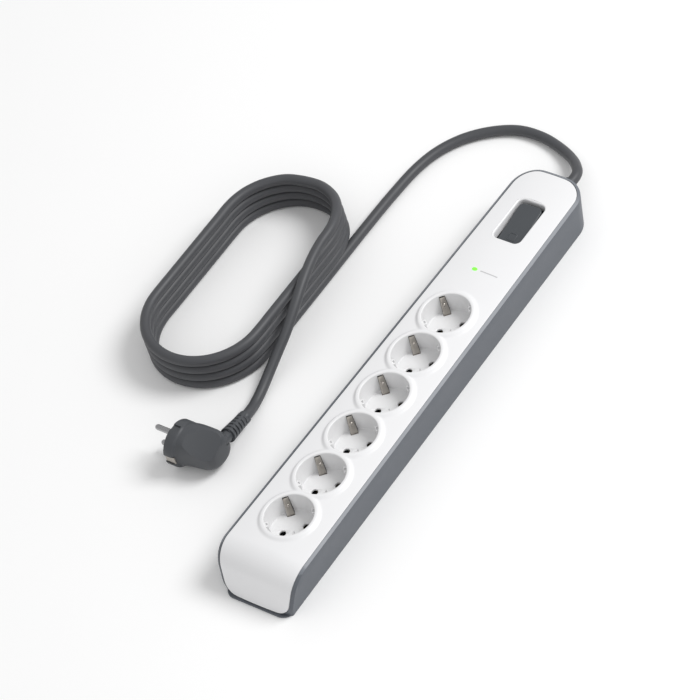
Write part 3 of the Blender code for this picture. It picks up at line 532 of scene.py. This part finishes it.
def build_panel():
    tail_y = TAIL_Y - BAND_W - LAND - GAP
    rows, edge_steps = [], ((0.0, 1.9), (0.0, 0.5), (0.05, 0.27), (0.16, 0.11), (0.34, 0.02))
    columns = 76
    for station in stations(tail_y, PANEL_TAIL_R, 0.95):
        edge = panel_half(station[0], station[1]) - station[3] - GAP - LAND
        row = [on_surface(-(edge - inset), station, depth) for inset, depth in edge_steps]
        inner = edge - 0.7
        for k in range(columns + 1):
            x = inner * (2.0 * k / columns - 1.0)
            row.append(with_plateau(on_surface(x, station, 0.0)))
        row += [on_surface(edge - inset, station, depth) for inset, depth in edge_steps[::-1]]
        rows.append(row)
    tail = [[(x, y + 0.1, z - 0.3) for x, y, z in rows[0]],
            [(x, y + 0.1, z - 1.9) for x, y, z in rows[0]]]
    foot = [[(x, y + 0.6, z - 0.5) for x, y, z in rows[-1]]]
    rows = tail[::-1] + rows + foot
    width = len(rows[0])
    verts = [p for row in rows for p in row]
    obj = add_mesh("panel_skin", verts, grid_faces(len(rows), width), WHITE, 50.0)
    work = bmesh.new()
    work.from_mesh(obj.data)
    for c in SOCKET_YS:
        centre = Vector((0, c * MM, 0))

        def distance(p, centre=centre):
            return math.hypot(p.x - centre.x, p.y - centre.y) - LIP_R * MM

        def outward(p, centre=centre):
            return Vector((p.x - centre.x, p.y - centre.y, 0)).normalized()
        snap_hole(work, distance, outward)

    def switch_distance(p):
        return opening_distance(p.x / MM, p.y / MM, SHOULDER) * MM

    def switch_outward(p):
        x, y = p.x / MM, p.y / MM
        e = 0.01
        gx = opening_distance(x + e, y, SHOULDER) - opening_distance(x - e, y, SHOULDER)
        gy = opening_distance(x, y + e, SHOULDER) - opening_distance(x, y - e, SHOULDER)
        return Vector((gx, gy, 0)).normalized()
    snap_hole(work, switch_distance, switch_outward)
    work.to_mesh(obj.data)
    work.free()
    obj.data.shade_smooth()
    ride(obj)
    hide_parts("top_cover")
    return obj


def build_collar():
    """The soft shoulder round the switch opening and the white wall below it."""
    rings = []
    for k in range(9):
        a = math.radians(90.0 * k / 8)
        grow, drop = SHOULDER - SHOULDER * math.sin(a), SHOULDER - SHOULDER * math.cos(a)
        rings.append([(x, y, top_z(x, y) - drop) for x, y in opening_outline(grow)])
    for depth in (2.5, 5.0, 6.6):
        rings.append([(x, y, top_z(x, y) - depth) for x, y in opening_outline(0.0)])
    for grow, z in ((0.05, OPENING_FOOT_Z), (1.3, OPENING_FOOT_Z), (1.3, 37.0)):
        rings.append([(x, y, z) for x, y in opening_outline(grow)])
    obj = loft("panel_collar", rings, WHITE, False, 60.0)
    ride(obj)


def build_label():
    """A plain printed line beside the light, in place of its lettering."""
    verts, steps = [], 24
    for k in range(steps + 1):
        x = 0.4 + 16.1 * k / steps
        for dy in (-0.55, 0.55):
            verts.append((x, LED[1] + dy, top_z(x, LED[1]) + 0.03))
    obj = add_mesh("label_line", verts, grid_faces(steps + 1, 2), LABEL)
    ride(obj)


def tub_point(kind, x_scale, station):
    """A point of one of the tub's outlines, from its base up and over to its inner floor."""
    y, z, lean, loss, crown = station
    drop = PANEL_Z - EDGE_Z
    edge_y, edge_z = y + drop * math.sin(lean), max(z - drop * math.cos(lean), 1.0)
    if kind == "base":
        return ((base_half(edge_y) - loss) * x_scale, edge_y, 0.0)
    if kind == "edge":
        half = side_half(edge_y, edge_z)
        x = (half - loss) * x_scale
        rise = crown * (1.0 - (x / half) ** 2)
        return (x, edge_y - rise * math.sin(lean), edge_z + rise * math.cos(lean))
    if kind == "band":
        return on_surface((panel_half(y, z) - loss) * x_scale, station, 0.0)
    if kind in ("seat_top", "seat_foot"):
        x = (panel_half(y, z) - LAND - loss) * x_scale
        return on_surface(x, station, 0.0 if kind == "seat_top" else SHEET_T + GAP)
    x = (panel_half(y, z) - SHELF_W - loss) * x_scale
    shelf = on_surface(x, station, SHEET_T + GAP)
    if kind == "shelf":
        return shelf
    return ((base_half(shelf[1]) - WALL_T - loss) * x_scale, shelf[1], FLOOR_T)


def around(kind, tail_y, tail_r, lowest=0.0):
    """One outline of the tub, up its left side, across the far end and down the right."""
    path = stations(tail_y, tail_r, 12.0)
    last = [s for s in path if s[1] >= lowest][-1]
    path = [s if s[1] >= lowest else last for s in path]
    left = [tub_point(kind, -1.0, s) for s in path[:0:-1]]
    tail = [tub_point(kind, k / 12.0, path[0]) for k in range(-12, 13)]
    right = [tub_point(kind, 1.0, s) for s in path[1:]]
    return left + tail + right


def between(a, b, t):
    return [tuple(p + (q - p) * t for p, q in zip(u, v)) for u, v in zip(a, b)]


def build_tub():
    seat_y = TAIL_Y - BAND_W - LAND
    inner = (TAIL_Y - WALL_T - 1.7, TAIL_R - WALL_T - 1.7, FOOT_TOP_Z)
    base = around("base", TAIL_Y, TAIL_R)
    edge = around("edge", TAIL_Y, TAIL_R)
    band = around("band", TAIL_Y - BAND_W, PANEL_TAIL_R)
    low = [(x * 0.992, y * 0.9985, 0.0) for x, y, z in base]
    rows = [low, between(base, edge, 0.012), between(base, edge, 0.04), between(base, edge, 0.35),
            between(base, edge, 0.7), between(base, edge, 0.985), between(edge, band, 0.08),
            between(edge, band, 0.5), between(edge, band, 0.93), band]
    rows += [around("seat_top", seat_y, PANEL_TAIL_R), around("seat_foot", seat_y, PANEL_TAIL_R),
             around("shelf", *inner), around("floor", *inner)]
    tub = loft("tub_shell", rows, GREY, True, 28.0)
    lip_y = NOSE_Y + LIP_HALF_Y
    lip = rounded_rect(LIP_HALF_X, LIP_HALF_Y, NOSE_R + 1.0, (0, lip_y))
    rings = [[(x * s, (y - lip_y) * s + lip_y, z) for x, y in lip]
             for s, z in ((0.985, 0.0), (1.0, 0.35), (1.0, LIP_T - 0.35), (0.985, LIP_T))]
    combine(tub, loft("lip", rings, GREY), "UNION")
    for x, y in SCREWS:
        sleeve = [(0.01, 1.0), (4.4, 1.0), (4.4, 8.7), (0.01, 8.7)]
        combine(tub, turned("sleeve", sleeve, (x, y, 0), GREY, segments=40), "UNION")
        hole = [(0.01, -1.0), (3.9, -1.0), (3.6, 0.4), (3.6, 3.4), (1.9, 3.41), (1.9, 12.0),
                (0.01, 12.0)]
        combine(tub, turned("hole", hole, (x, y, 0), GREY, segments=40))
    gland = [(0.01, 205.0), (6.3, 205.0), (6.3, 230.0), (0.01, 230.0)]
    combine(tub, turned("gland_hole", gland, (0, 0, EXIT_Z), GREY, (0, 1, 0), 40))
    tub.data.materials.append(BAND_PAINTED_HIGHLIGHT)
    paint_band_highlight(tub)
    tub.data.shade_smooth()
    tub.data.set_sharp_from_angle(angle=math.radians(28.0))
    ride(tub)
    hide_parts("housing_tub")


def paint_band_highlight(tub):
    """The bevelled band round the panel is smoother than the sides, and its up-facing faces get a
    lighter slate: a painted highlight.
    """
    for face in tub.data.polygons:
        x, y, z = (c / MM for c in face.center)
        near_edge = abs(abs(x) - (panel_half(y, max(z, 0)) + 1.2)) < 1.9 or y > TAIL_Y - 26.0
        facing_up = face.normal.z > 0.55
        takes_painted_highlight = z > 33.0 and facing_up and near_edge and z > top_z(x, y) - 2.1
        # Up-facing faces of the band get the lighter slate: painted highlight.
        if takes_painted_highlight:
            face.material_index = len(tub.data.materials) - 1


# ==============================================================================
# sockets
# ==============================================================================
def arc_points(centre_r, centre_z, radius, start, stop, steps):
    points = []
    for k in range(steps + 1):
        a = math.radians(start + (stop - start) * k / steps)
        points.append((centre_r + radius * math.cos(a), centre_z + radius * math.sin(a)))
    return points


def well_mesh():
    """One socket well round the origin, with its ribs, pin holes and spring slots."""
    profile = [(0.01, FLOOR_Z), (9.0, FLOOR_Z)]
    profile += arc_points(RECESS_R - 1.1, FLOOR_Z + 0.7, 0.7, -90, 0, 6)
    profile += arc_points(RECESS_R + 0.95, RIM_Z - 1.0, 1.0, 180, 90, 10)
    profile += [(LIP_R, RIM_Z), (LIP_R, 41.0), (21.0, 40.8), (21.0, 21.6), (0.01, 21.6)]
    well = turned("well", profile, (0, 0, 0), WELL, segments=128, smooth=30.0)
    for side in (-1, 1):
        rib = block("rib", (side * 18.9 - 1.5, -2.6, FLOOR_Z - 0.5),
                    (side * 18.9 + 1.5, 2.6, 38.6), WELL)
        soften(rib, 0.35)
        apply_modifiers(rib)
        combine(well, rib, "UNION")
        combine(well, block("dimple", (side * 18.6 - 0.8, -1.3, 37.4),
                            (side * 18.6 + 0.8, 1.3, 40.0), WELL))
        hole = [(0.01, 15.0), (2.75, 15.0), (2.75, FLOOR_Z - 0.4), (3.05, FLOOR_Z + 0.02),
                (3.05, 30.0), (0.01, 30.0)]
        combine(well, turned("pin_hole", hole, (side * PIN_OFFSET, 0, 0), WELL, segments=40))
        slot = []
        for z, half in ((FLOOR_Z - 4.0, 3.4), (40.2, 2.5)):
            slot.append([(-half, side * 14.2, z), (half, side * 14.2, z),
                         (half, side * 22.0, z), (-half, side * 22.0, z)])
        combine(well, loft("slot", slot, WELL))
    mark = [(0.01, FLOOR_Z - 0.9), (0.9, FLOOR_Z - 0.9), (0.9, 30.0), (0.01, 30.0)]
    combine(well, turned("mark", mark, (-1.1, -2.65, 0), WELL, segments=24))
    well.data.shade_smooth()
    well.data.set_sharp_from_angle(angle=math.radians(30.0))
    return well


def clip_mesh():
    """One earth spring: a bent strip with a contact dimple on each arm."""
    line = [(18.9, 39.6, 2.2), (18.3, 37.2, 2.35), (17.3, 33.2, 2.6), (16.9, 31.5, 2.7),
            (16.5, 29.7, 2.75), (14.9, 22.6, 3.1), (14.7, 21.2, 3.1), (14.2, 20.3, 3.1),
            (13.2, 20.2, 3.1)]
    rings = []
    for side in (1, -1):
        for r, z, half in (line if side == 1 else line[::-1]):
            back = 0.8
            out_r, out_z = (r + back, z) if r > 14.0 else (r, z - 0.8)
            if 13.5 < r < 14.6:
                out_r, out_z = r + 0.6, z - 0.6
            rings.append([(-half, side * r, z), (half, side * r, z),
                          (half, side * out_r, out_z), (-half, side * out_r, out_z)])
    clip = loft("clip", rings, SPRING, True, 50.0)
    for side in (-1, 1):
        dome = [(0.01, -0.5)] + arc_points(0, -0.6, 1.35, 5, 85, 6) + [(0.01, 0.76)]
        combine(clip, turned("dome", dome, (0, side * 17.25, 33.1), SPRING, (0, -side, 0.35), 24),
                "UNION")
    soften(clip, 0.12, 2)
    apply_modifiers(clip)
    clip.data.shade_smooth()
    clip.data.set_sharp_from_angle(angle=math.radians(40.0))
    return clip


def build_sockets():
    well, clip = well_mesh(), clip_mesh()
    turn = Matrix.Rotation(math.radians(45.0), 4, "Z")
    for source in (well, clip):
        source.data.transform(turn)
    for index, y in enumerate(SOCKET_YS, 1):
        for source, name, slot in ((well, "socket_cup", "cup_white"),
                                   (clip, "earth_clip", "plated_steel")):
            copy = bpy.data.objects.new(f"{name}_look_{index}", source.data)
            copy.location = (0, y * MM, 0)
            bpy.context.scene.collection.objects.link(copy)
            ride(copy)
            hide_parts(f"{name}_{index}")
    for source in (well, clip):
        bpy.data.objects.remove(source, do_unlink=True)


# ==============================================================================
# switch and light
# ==============================================================================
def rocker_outline(grow):
    return rounded_rect(ROCKER_HALF_X + grow, ROCKER_HALF_Y + grow, ROCKER_CORNER + grow)


def build_rocker():
    """Built level about its own pivot, then tipped to its rest angle."""
    top = ROCKER_TOP_Z - PIVOT_Z
    rings = []
    for z, grow in ((-1.5, -0.9), (-1.2, -0.75), (top - 3.0, -0.2)):
        rings.append([(x, y, z) for x, y in rocker_outline(grow)])
    for k in range(9):
        a = math.radians(90.0 * k / 8)
        grow, z = -0.1 - 0.9 * (1 - math.cos(a)), top - 0.9 + 0.9 * math.sin(a)
        rings.append([(x, y, z) for x, y in rocker_outline(grow)])
    rocker = loft("rocker_look", rings, ROCKER, True, 40.0)
    ridge = []
    for grow, z in ((0.0, top - 0.5), (0.0, top + 0.15), (-0.25, top + 0.4)):
        ridge.append([(x, y - 11.8, z) for x, y in rounded_rect(3.9 + grow, 3.7 + grow, 1.6)])
    combine(rocker, loft("ridge", ridge, ROCKER), "UNION")
    dish = []
    for grow, z in ((0.0, top + 0.05), (0.3, top + 0.6)):
        dish.append([(x, y - 11.8, z) for x, y in rounded_rect(3.0 + grow, 2.8 + grow, 1.1)])
    combine(rocker, loft("dish", dish, ROCKER))
    for x in (-6.0, 6.0):
        stem = [(-1.6, -1.0), (-0.7, -11.6), (0.7, -11.6), (1.6, -1.0)]
        rings = [[(x + dx, y, z) for y, z in stem] for dx in (-1.5, 1.5)]
        combine(rocker, loft("stem", rings, ROCKER), "UNION")
    axle = [(0.01, -13.6), (1.8, -13.6), (2.0, -13.4), (2.0, 13.4), (1.8, 13.6), (0.01, 13.6)]
    combine(rocker, turned("axle", axle, (0, 0, 0), ROCKER, (1, 0, 0), 40), "UNION")
    rocker.data.shade_smooth()
    rocker.data.set_sharp_from_angle(angle=math.radians(40.0))
    place = Matrix.Translation(Vector((0, SWITCH_Y, PIVOT_Z)) * MM)
    rocker.data.transform(place @ Matrix.Rotation(REST_TILT, 4, "X"))
    ride(rocker, "rocker")
    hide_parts("rocker")


def build_lens():
    profile = [(0.01, 27.0), (1.8, 27.0), (2.0, 34.8), (3.6, 35.0), (3.6, 37.0), (2.45, 37.2),
               (2.45, 40.5)] + arc_points(1.95, 40.52, 0.5, 0, 80, 6) + [(0.01, 41.04)]
    lens = turned("led_lens_look", profile, (0, 0, 0), GLOW, segments=48)
    lens.data.transform(Matrix.Diagonal((1.0, 0.67, 1.0, 1.0)))
    lens.data.transform(Matrix.Translation((LED[0] * MM, LED[1] * MM, 0)))
    ride(lens)
    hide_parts("led_lens")


# ==============================================================================
# gland, strain relief, plug, screws
# ==============================================================================
def ribbed(start, length, first, last, count, gap, core):
    """Ribs along a tapered sleeve: (radius, height) pairs with rounded shoulders."""
    points, pitch = [], length / count
    for k in range(count):
        at = start + pitch * k
        radius = first + (last - first) * k / max(1, count - 1)
        points += [(core, at), (radius - 0.3, at + 0.02), (radius, at + 0.3),
                   (radius - 0.05, at + pitch - gap - 0.3), (radius - 0.35, at + pitch - gap),
                   (core, at + pitch - gap + 0.02)]
    return points


def build_gland():
    profile = [(0.01, 213.0), (7.7, 213.0), (8.0, 213.3), (8.0, 217.6), (7.7, 217.9), (6.0, 217.9),
               (6.0, 222.7), (7.0, 222.75), (7.2, 223.0), (7.2, 224.6)]
    profile += ribbed(225.0, 9.6, 6.8, 6.0, 3, 1.4, 5.0)
    profile += [(5.5, 234.9), (5.4, 235.8), (4.6, GLAND_END_Y), (0.01, GLAND_END_Y)]
    gland = turned("cord_gland_look", profile, (0, 0, EXIT_Z), PLUG, (0, 1, 0), 48)
    ride(gland)
    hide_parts("cord_gland")
    return gland


def build_relief():
    start, along = RELIEF[0], RELIEF[1] - RELIEF[0]
    length = along.length
    profile = [(0.01, -8.6), (4.8, -8.6), (4.8, 0.0)]
    profile += ribbed(1.2, length - 3.4, 6.6, 5.4, 6, 1.5, 4.75)
    profile += [(5.3, length - 2.0), (5.3, length - 0.4), (4.7, length), (0.01, length)]
    relief = turned("plug_relief_look", profile, start, PLUG, along.normalized(), 48)
    turn = along.to_track_quat("Z", "Y").to_matrix().to_4x4()
    for quarter in range(4):
        web = block("web", (4.0, -1.1, 0.4), (5.6, 1.1, length - 1.0), PLUG)
        web.data.transform(Matrix.Translation(start * MM) @ turn
                           @ Matrix.Rotation(math.radians(90.0 * quarter + 20.0), 4, "Z"))
        combine(relief, web, "UNION")
    relief.data.shade_smooth()
    relief.data.set_sharp_from_angle(angle=math.radians(30.0))
    ride(relief)
    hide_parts("plug_strain_relief")
    return relief


# The plug's sections: (x, half width, half height, middle y, middle z, power). A power of 2
# is an ellipse; a higher one is squarer.
PLUG_LAYERS = (
    (-142.0, 18.2, 18.2, PLUG_Y, 19.0, 2.0), (-141.7, 18.75, 18.75, PLUG_Y, 19.0, 2.0),
    (-141.2, 19.0, 19.0, PLUG_Y, 19.0, 2.0), (-138.0, 19.0, 19.0, PLUG_Y, 19.0, 2.0),
    (-134.2, 19.0, 19.0, PLUG_Y, 19.0, 2.0), (-133.5, 18.7, 18.8, PLUG_Y, 19.0, 2.0),
    (-133.0, 18.0, 18.2, PLUG_Y, 19.0, 2.0), (-132.2, 17.0, 17.8, -121.6, 19.0, 2.15),
    (-131.0, 16.5, 17.6, -121.0, 19.0, 2.3), (-127.5, 16.0, 17.3, -120.2, 19.0, 2.45),
    (-124.0, 15.6, 17.0, -119.6, 19.0, 2.6), (-118.0, 15.3, 16.5, -119.0, 18.9, 2.7),
    (-112.0, 15.0, 15.6, -118.4, 18.6, 2.8), (-108.0, 14.3, 14.6, -117.9, 18.4, 2.75),
    (-105.0, 13.2, 13.2, -117.6, 18.2, 2.6), (-103.4, 11.9, 11.9, -117.3, 18.1, 2.4),
    (-102.4, 10.0, 10.2, -117.2, 18.0, 2.3), (-101.9, 8.0, 8.4, -117.2, 18.0, 2.2),
    (-101.8, 6.0, 6.4, -117.2, 18.0, 2.1))


def grip_cutter():
    """A wide, shallow hollow that leaves the plug's slanted grip face."""
    normal = Vector(GRIP_NORMAL).normalized()
    across = normal.cross(Vector((1, 0, 0))).normalized()
    centre = Vector(GRIP_MIDDLE) + normal * (GRIP_R - GRIP_DEPTH)
    profile = [(0.01, -45.0), (GRIP_R, -45.0), (GRIP_R, 45.0), (0.01, 45.0)]
    return turned("grip", profile, centre, PLUG, across, 256)


def build_plug():
    rings = []
    for x, half_y, half_z, cy, cz, power in PLUG_LAYERS:
        ring = []
        for k in range(96):
            a = 2 * math.pi * k / 96
            c, s = math.cos(a), math.sin(a)
            ring.append((x, cy + half_y * math.copysign(abs(c) ** (2 / power), c),
                         cz + half_z * math.copysign(abs(s) ** (2 / power), s)))
        rings.append(ring)
    body = loft("plug_body_look", rings, PLUG, True, 30.0)
    for side in (-1, 1):
        y, z = PLUG_Y + side * PLUG_R, PLUG_Z + side * PLUG_R
        combine(body, block("groove", (-145.0, y - 2.6, PLUG_Z - 4.0),
                            (-131.6, y + 2.6, PLUG_Z + 4.0), PLUG))
        combine(body, block("notch", (-145.0, PLUG_Y - 2.6, z - 1.6),
                            (-134.5, PLUG_Y + 2.6, z + 1.6), PLUG))
        seat = [(0.01, -150.0), (2.7, -150.0), (2.7, -130.0), (0.01, -130.0)]
        middle = (0, PLUG_Y, PLUG_Z + side * PIN_OFFSET)
        combine(body, turned("seat", seat, middle, PLUG, (1, 0, 0), 40))
    combine(body, grip_cutter())
    seat = [(0.01, -9.0), (5.2, -9.0), (5.2, 10.0), (0.01, 10.0)]
    direction = (RELIEF[1] - RELIEF[0]).normalized()
    combine(body, turned("relief_seat", seat, RELIEF[0], PLUG, direction, 40))
    body.data.shade_smooth()
    body.data.set_sharp_from_angle(angle=math.radians(30.0))
    ride(body)
    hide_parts("plug_body")
    parts = [body]
    for index, side in ((1, 1), (2, -1)):
        tip = [(0.01, -161.0)] + [(2.4 * math.sin(math.radians(a)),
                                   -158.4 - 2.6 * math.cos(math.radians(a)))
                                  for a in range(15, 91, 15)]
        profile = tip + [(2.4, -131.0), (2.2, -130.6), (0.01, -130.6)]
        middle = (0, PLUG_Y, PLUG_Z + side * PIN_OFFSET)
        pin = turned(f"plug_pin_look_{index}", profile, middle, NICKEL, (1, 0, 0), 40)
        ride(pin)
        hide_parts(f"plug_pin_{index}")
        parts.append(pin)
    for name in ("plug_earth_near", "plug_earth_far"):
        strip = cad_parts[name]
        repaint(name, SPRING)
        soften(strip, 0.15, 2)
        parts.append(strip)
    return parts


def screw_mesh():
    profile = [(0.01, 0.95), (1.0, 0.95), (2.6, 0.7), (3.0, 0.85), (3.2, 1.2), (3.2, 2.3),
               (3.0, 2.5), (1.3, 3.0)]
    for k in range(14):
        z = 3.4 + 1.25 * k
        profile += [(1.2, z), (1.55, z + 0.5), (1.55, z + 0.65), (1.2, z + 1.1)]
    profile += [(1.2, 21.4), (0.5, 23.0), (0.01, 23.0)]
    screw = turned("screw", profile, (0, 0, 0), ZINC, segments=40, smooth=30.0)
    for hx, hy in ((1.9, 0.36), (0.36, 1.9)):
        combine(screw, block("cross", (-hx, -hy, 0.0), (hx, hy, 2.2), ZINC))
    screw.data.shade_smooth()
    screw.data.set_sharp_from_angle(angle=math.radians(30.0))
    return screw


def build_screws():
    source = screw_mesh()
    for index, (x, y) in enumerate(SCREWS, 1):
        copy = bpy.data.objects.new(f"housing_screw_look_{index}", source.data)
        copy.location = (x * MM, y * MM, 0)
        bpy.context.scene.collection.objects.link(copy)
        ride(copy)
        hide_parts(f"housing_screw_{index}")
    bpy.data.objects.remove(source, do_unlink=True)


def repaint(name, material):
    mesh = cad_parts[name].data
    mesh.materials.clear()
    mesh.materials.append(material)


def paint_inner_parts():
    """CAD pieces whose shape is right keep it and get a real finish and soft edges."""
    finishes = {
        "line_rail": BRASS, "neutral_rail": BRASS, "earth_rail": BRASS,
        "contact_plate_line": BRASS, "contact_plate_neutral": BRASS,
        "terminal_line_in": BRASS, "terminal_line_out": BRASS,
        "terminal_neutral_in": BRASS, "terminal_neutral_out": BRASS,
        "rail_carrier": TRAY, "surge_board": BOARD, "thermal_fuse": CAN,
        "varistor_1": DISC, "varistor_2": DISC, "varistor_3": DISC,
        "status_led": LED_RESIN, "switch_body": BLACK,
        "core_line": BROWN, "lead_line": BROWN, "core_neutral": BLUE, "lead_neutral": BLUE,
        "core_earth": GREEN,
    }
    for name, material in finishes.items():
        repaint(name, material)
    for name in ("switch_body", "rail_carrier", "surge_board"):
        soften(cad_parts[name], 0.2, 2)


# ==============================================================================
# floor and light
# ==============================================================================
FLOOR_HALF = 9000


def add_floor():
    """A plain pale floor with a barely visible texture, kept matt."""
    material, nodes, links, shader = material_base("floor_pale")
    cloud = noise(nodes, links, 3.0, 3.0)
    links.new(tint(nodes, links, cloud, (0.93, 0.93, 0.93), (0.95, 0.95, 0.95)),
              shader.inputs["Base Color"])
    shader.inputs["Roughness"].default_value = 0.9
    shader.inputs["Specular IOR Level"].default_value = 0.1
    corners = ((-1, -1), (1, -1), (1, 1), (-1, 1))
    verts = [(x * FLOOR_HALF, y * FLOOR_HALF, -0.05) for x, y in corners]
    add_mesh("floor", verts, [(0, 1, 2, 3)], material)


def area_light(name, place, aim, size, power, colour=(1, 1, 1)):
    data = bpy.data.lights.new(name, "AREA")
    data.shape = "DISK"
    data.size, data.energy, data.color = size, power, colour
    light = bpy.data.objects.new(name, data)
    light.location = place
    away = Vector(place) - Vector(aim)
    light.rotation_euler = away.to_track_quat("Z", "Y").to_euler()
    bpy.context.scene.collection.objects.link(light)


def add_light():
    world = bpy.data.worlds.new("studio")
    world.use_nodes = True
    background = world.node_tree.nodes["Background"]
    background.inputs["Color"].default_value = (1.0, 1.0, 1.0, 1.0)
    background.inputs["Strength"].default_value = 0.62
    bpy.context.scene.world = world
    area_light("key", (1.5, 1.3, 2.3), (-0.08, 0.0, 0.0), 1.5, 58.0)
    area_light("fill", (1.8, -1.6, 1.6), (-0.08, 0.0, 0.0), 1.8, 6.0)
    bpy.context.scene.view_settings.view_transform = "Standard"


add_camera()
CORD_OBJ, CORD_LENGTH = add_cord()
build_panel()
build_collar()
build_label()
build_tub()
build_sockets()
build_rocker()
build_lens()
GLAND = build_gland()
RELIEF_PIECE = build_relief()
PLUG_PIECES = build_plug()
build_screws()
paint_inner_parts()
add_floor()
add_light()
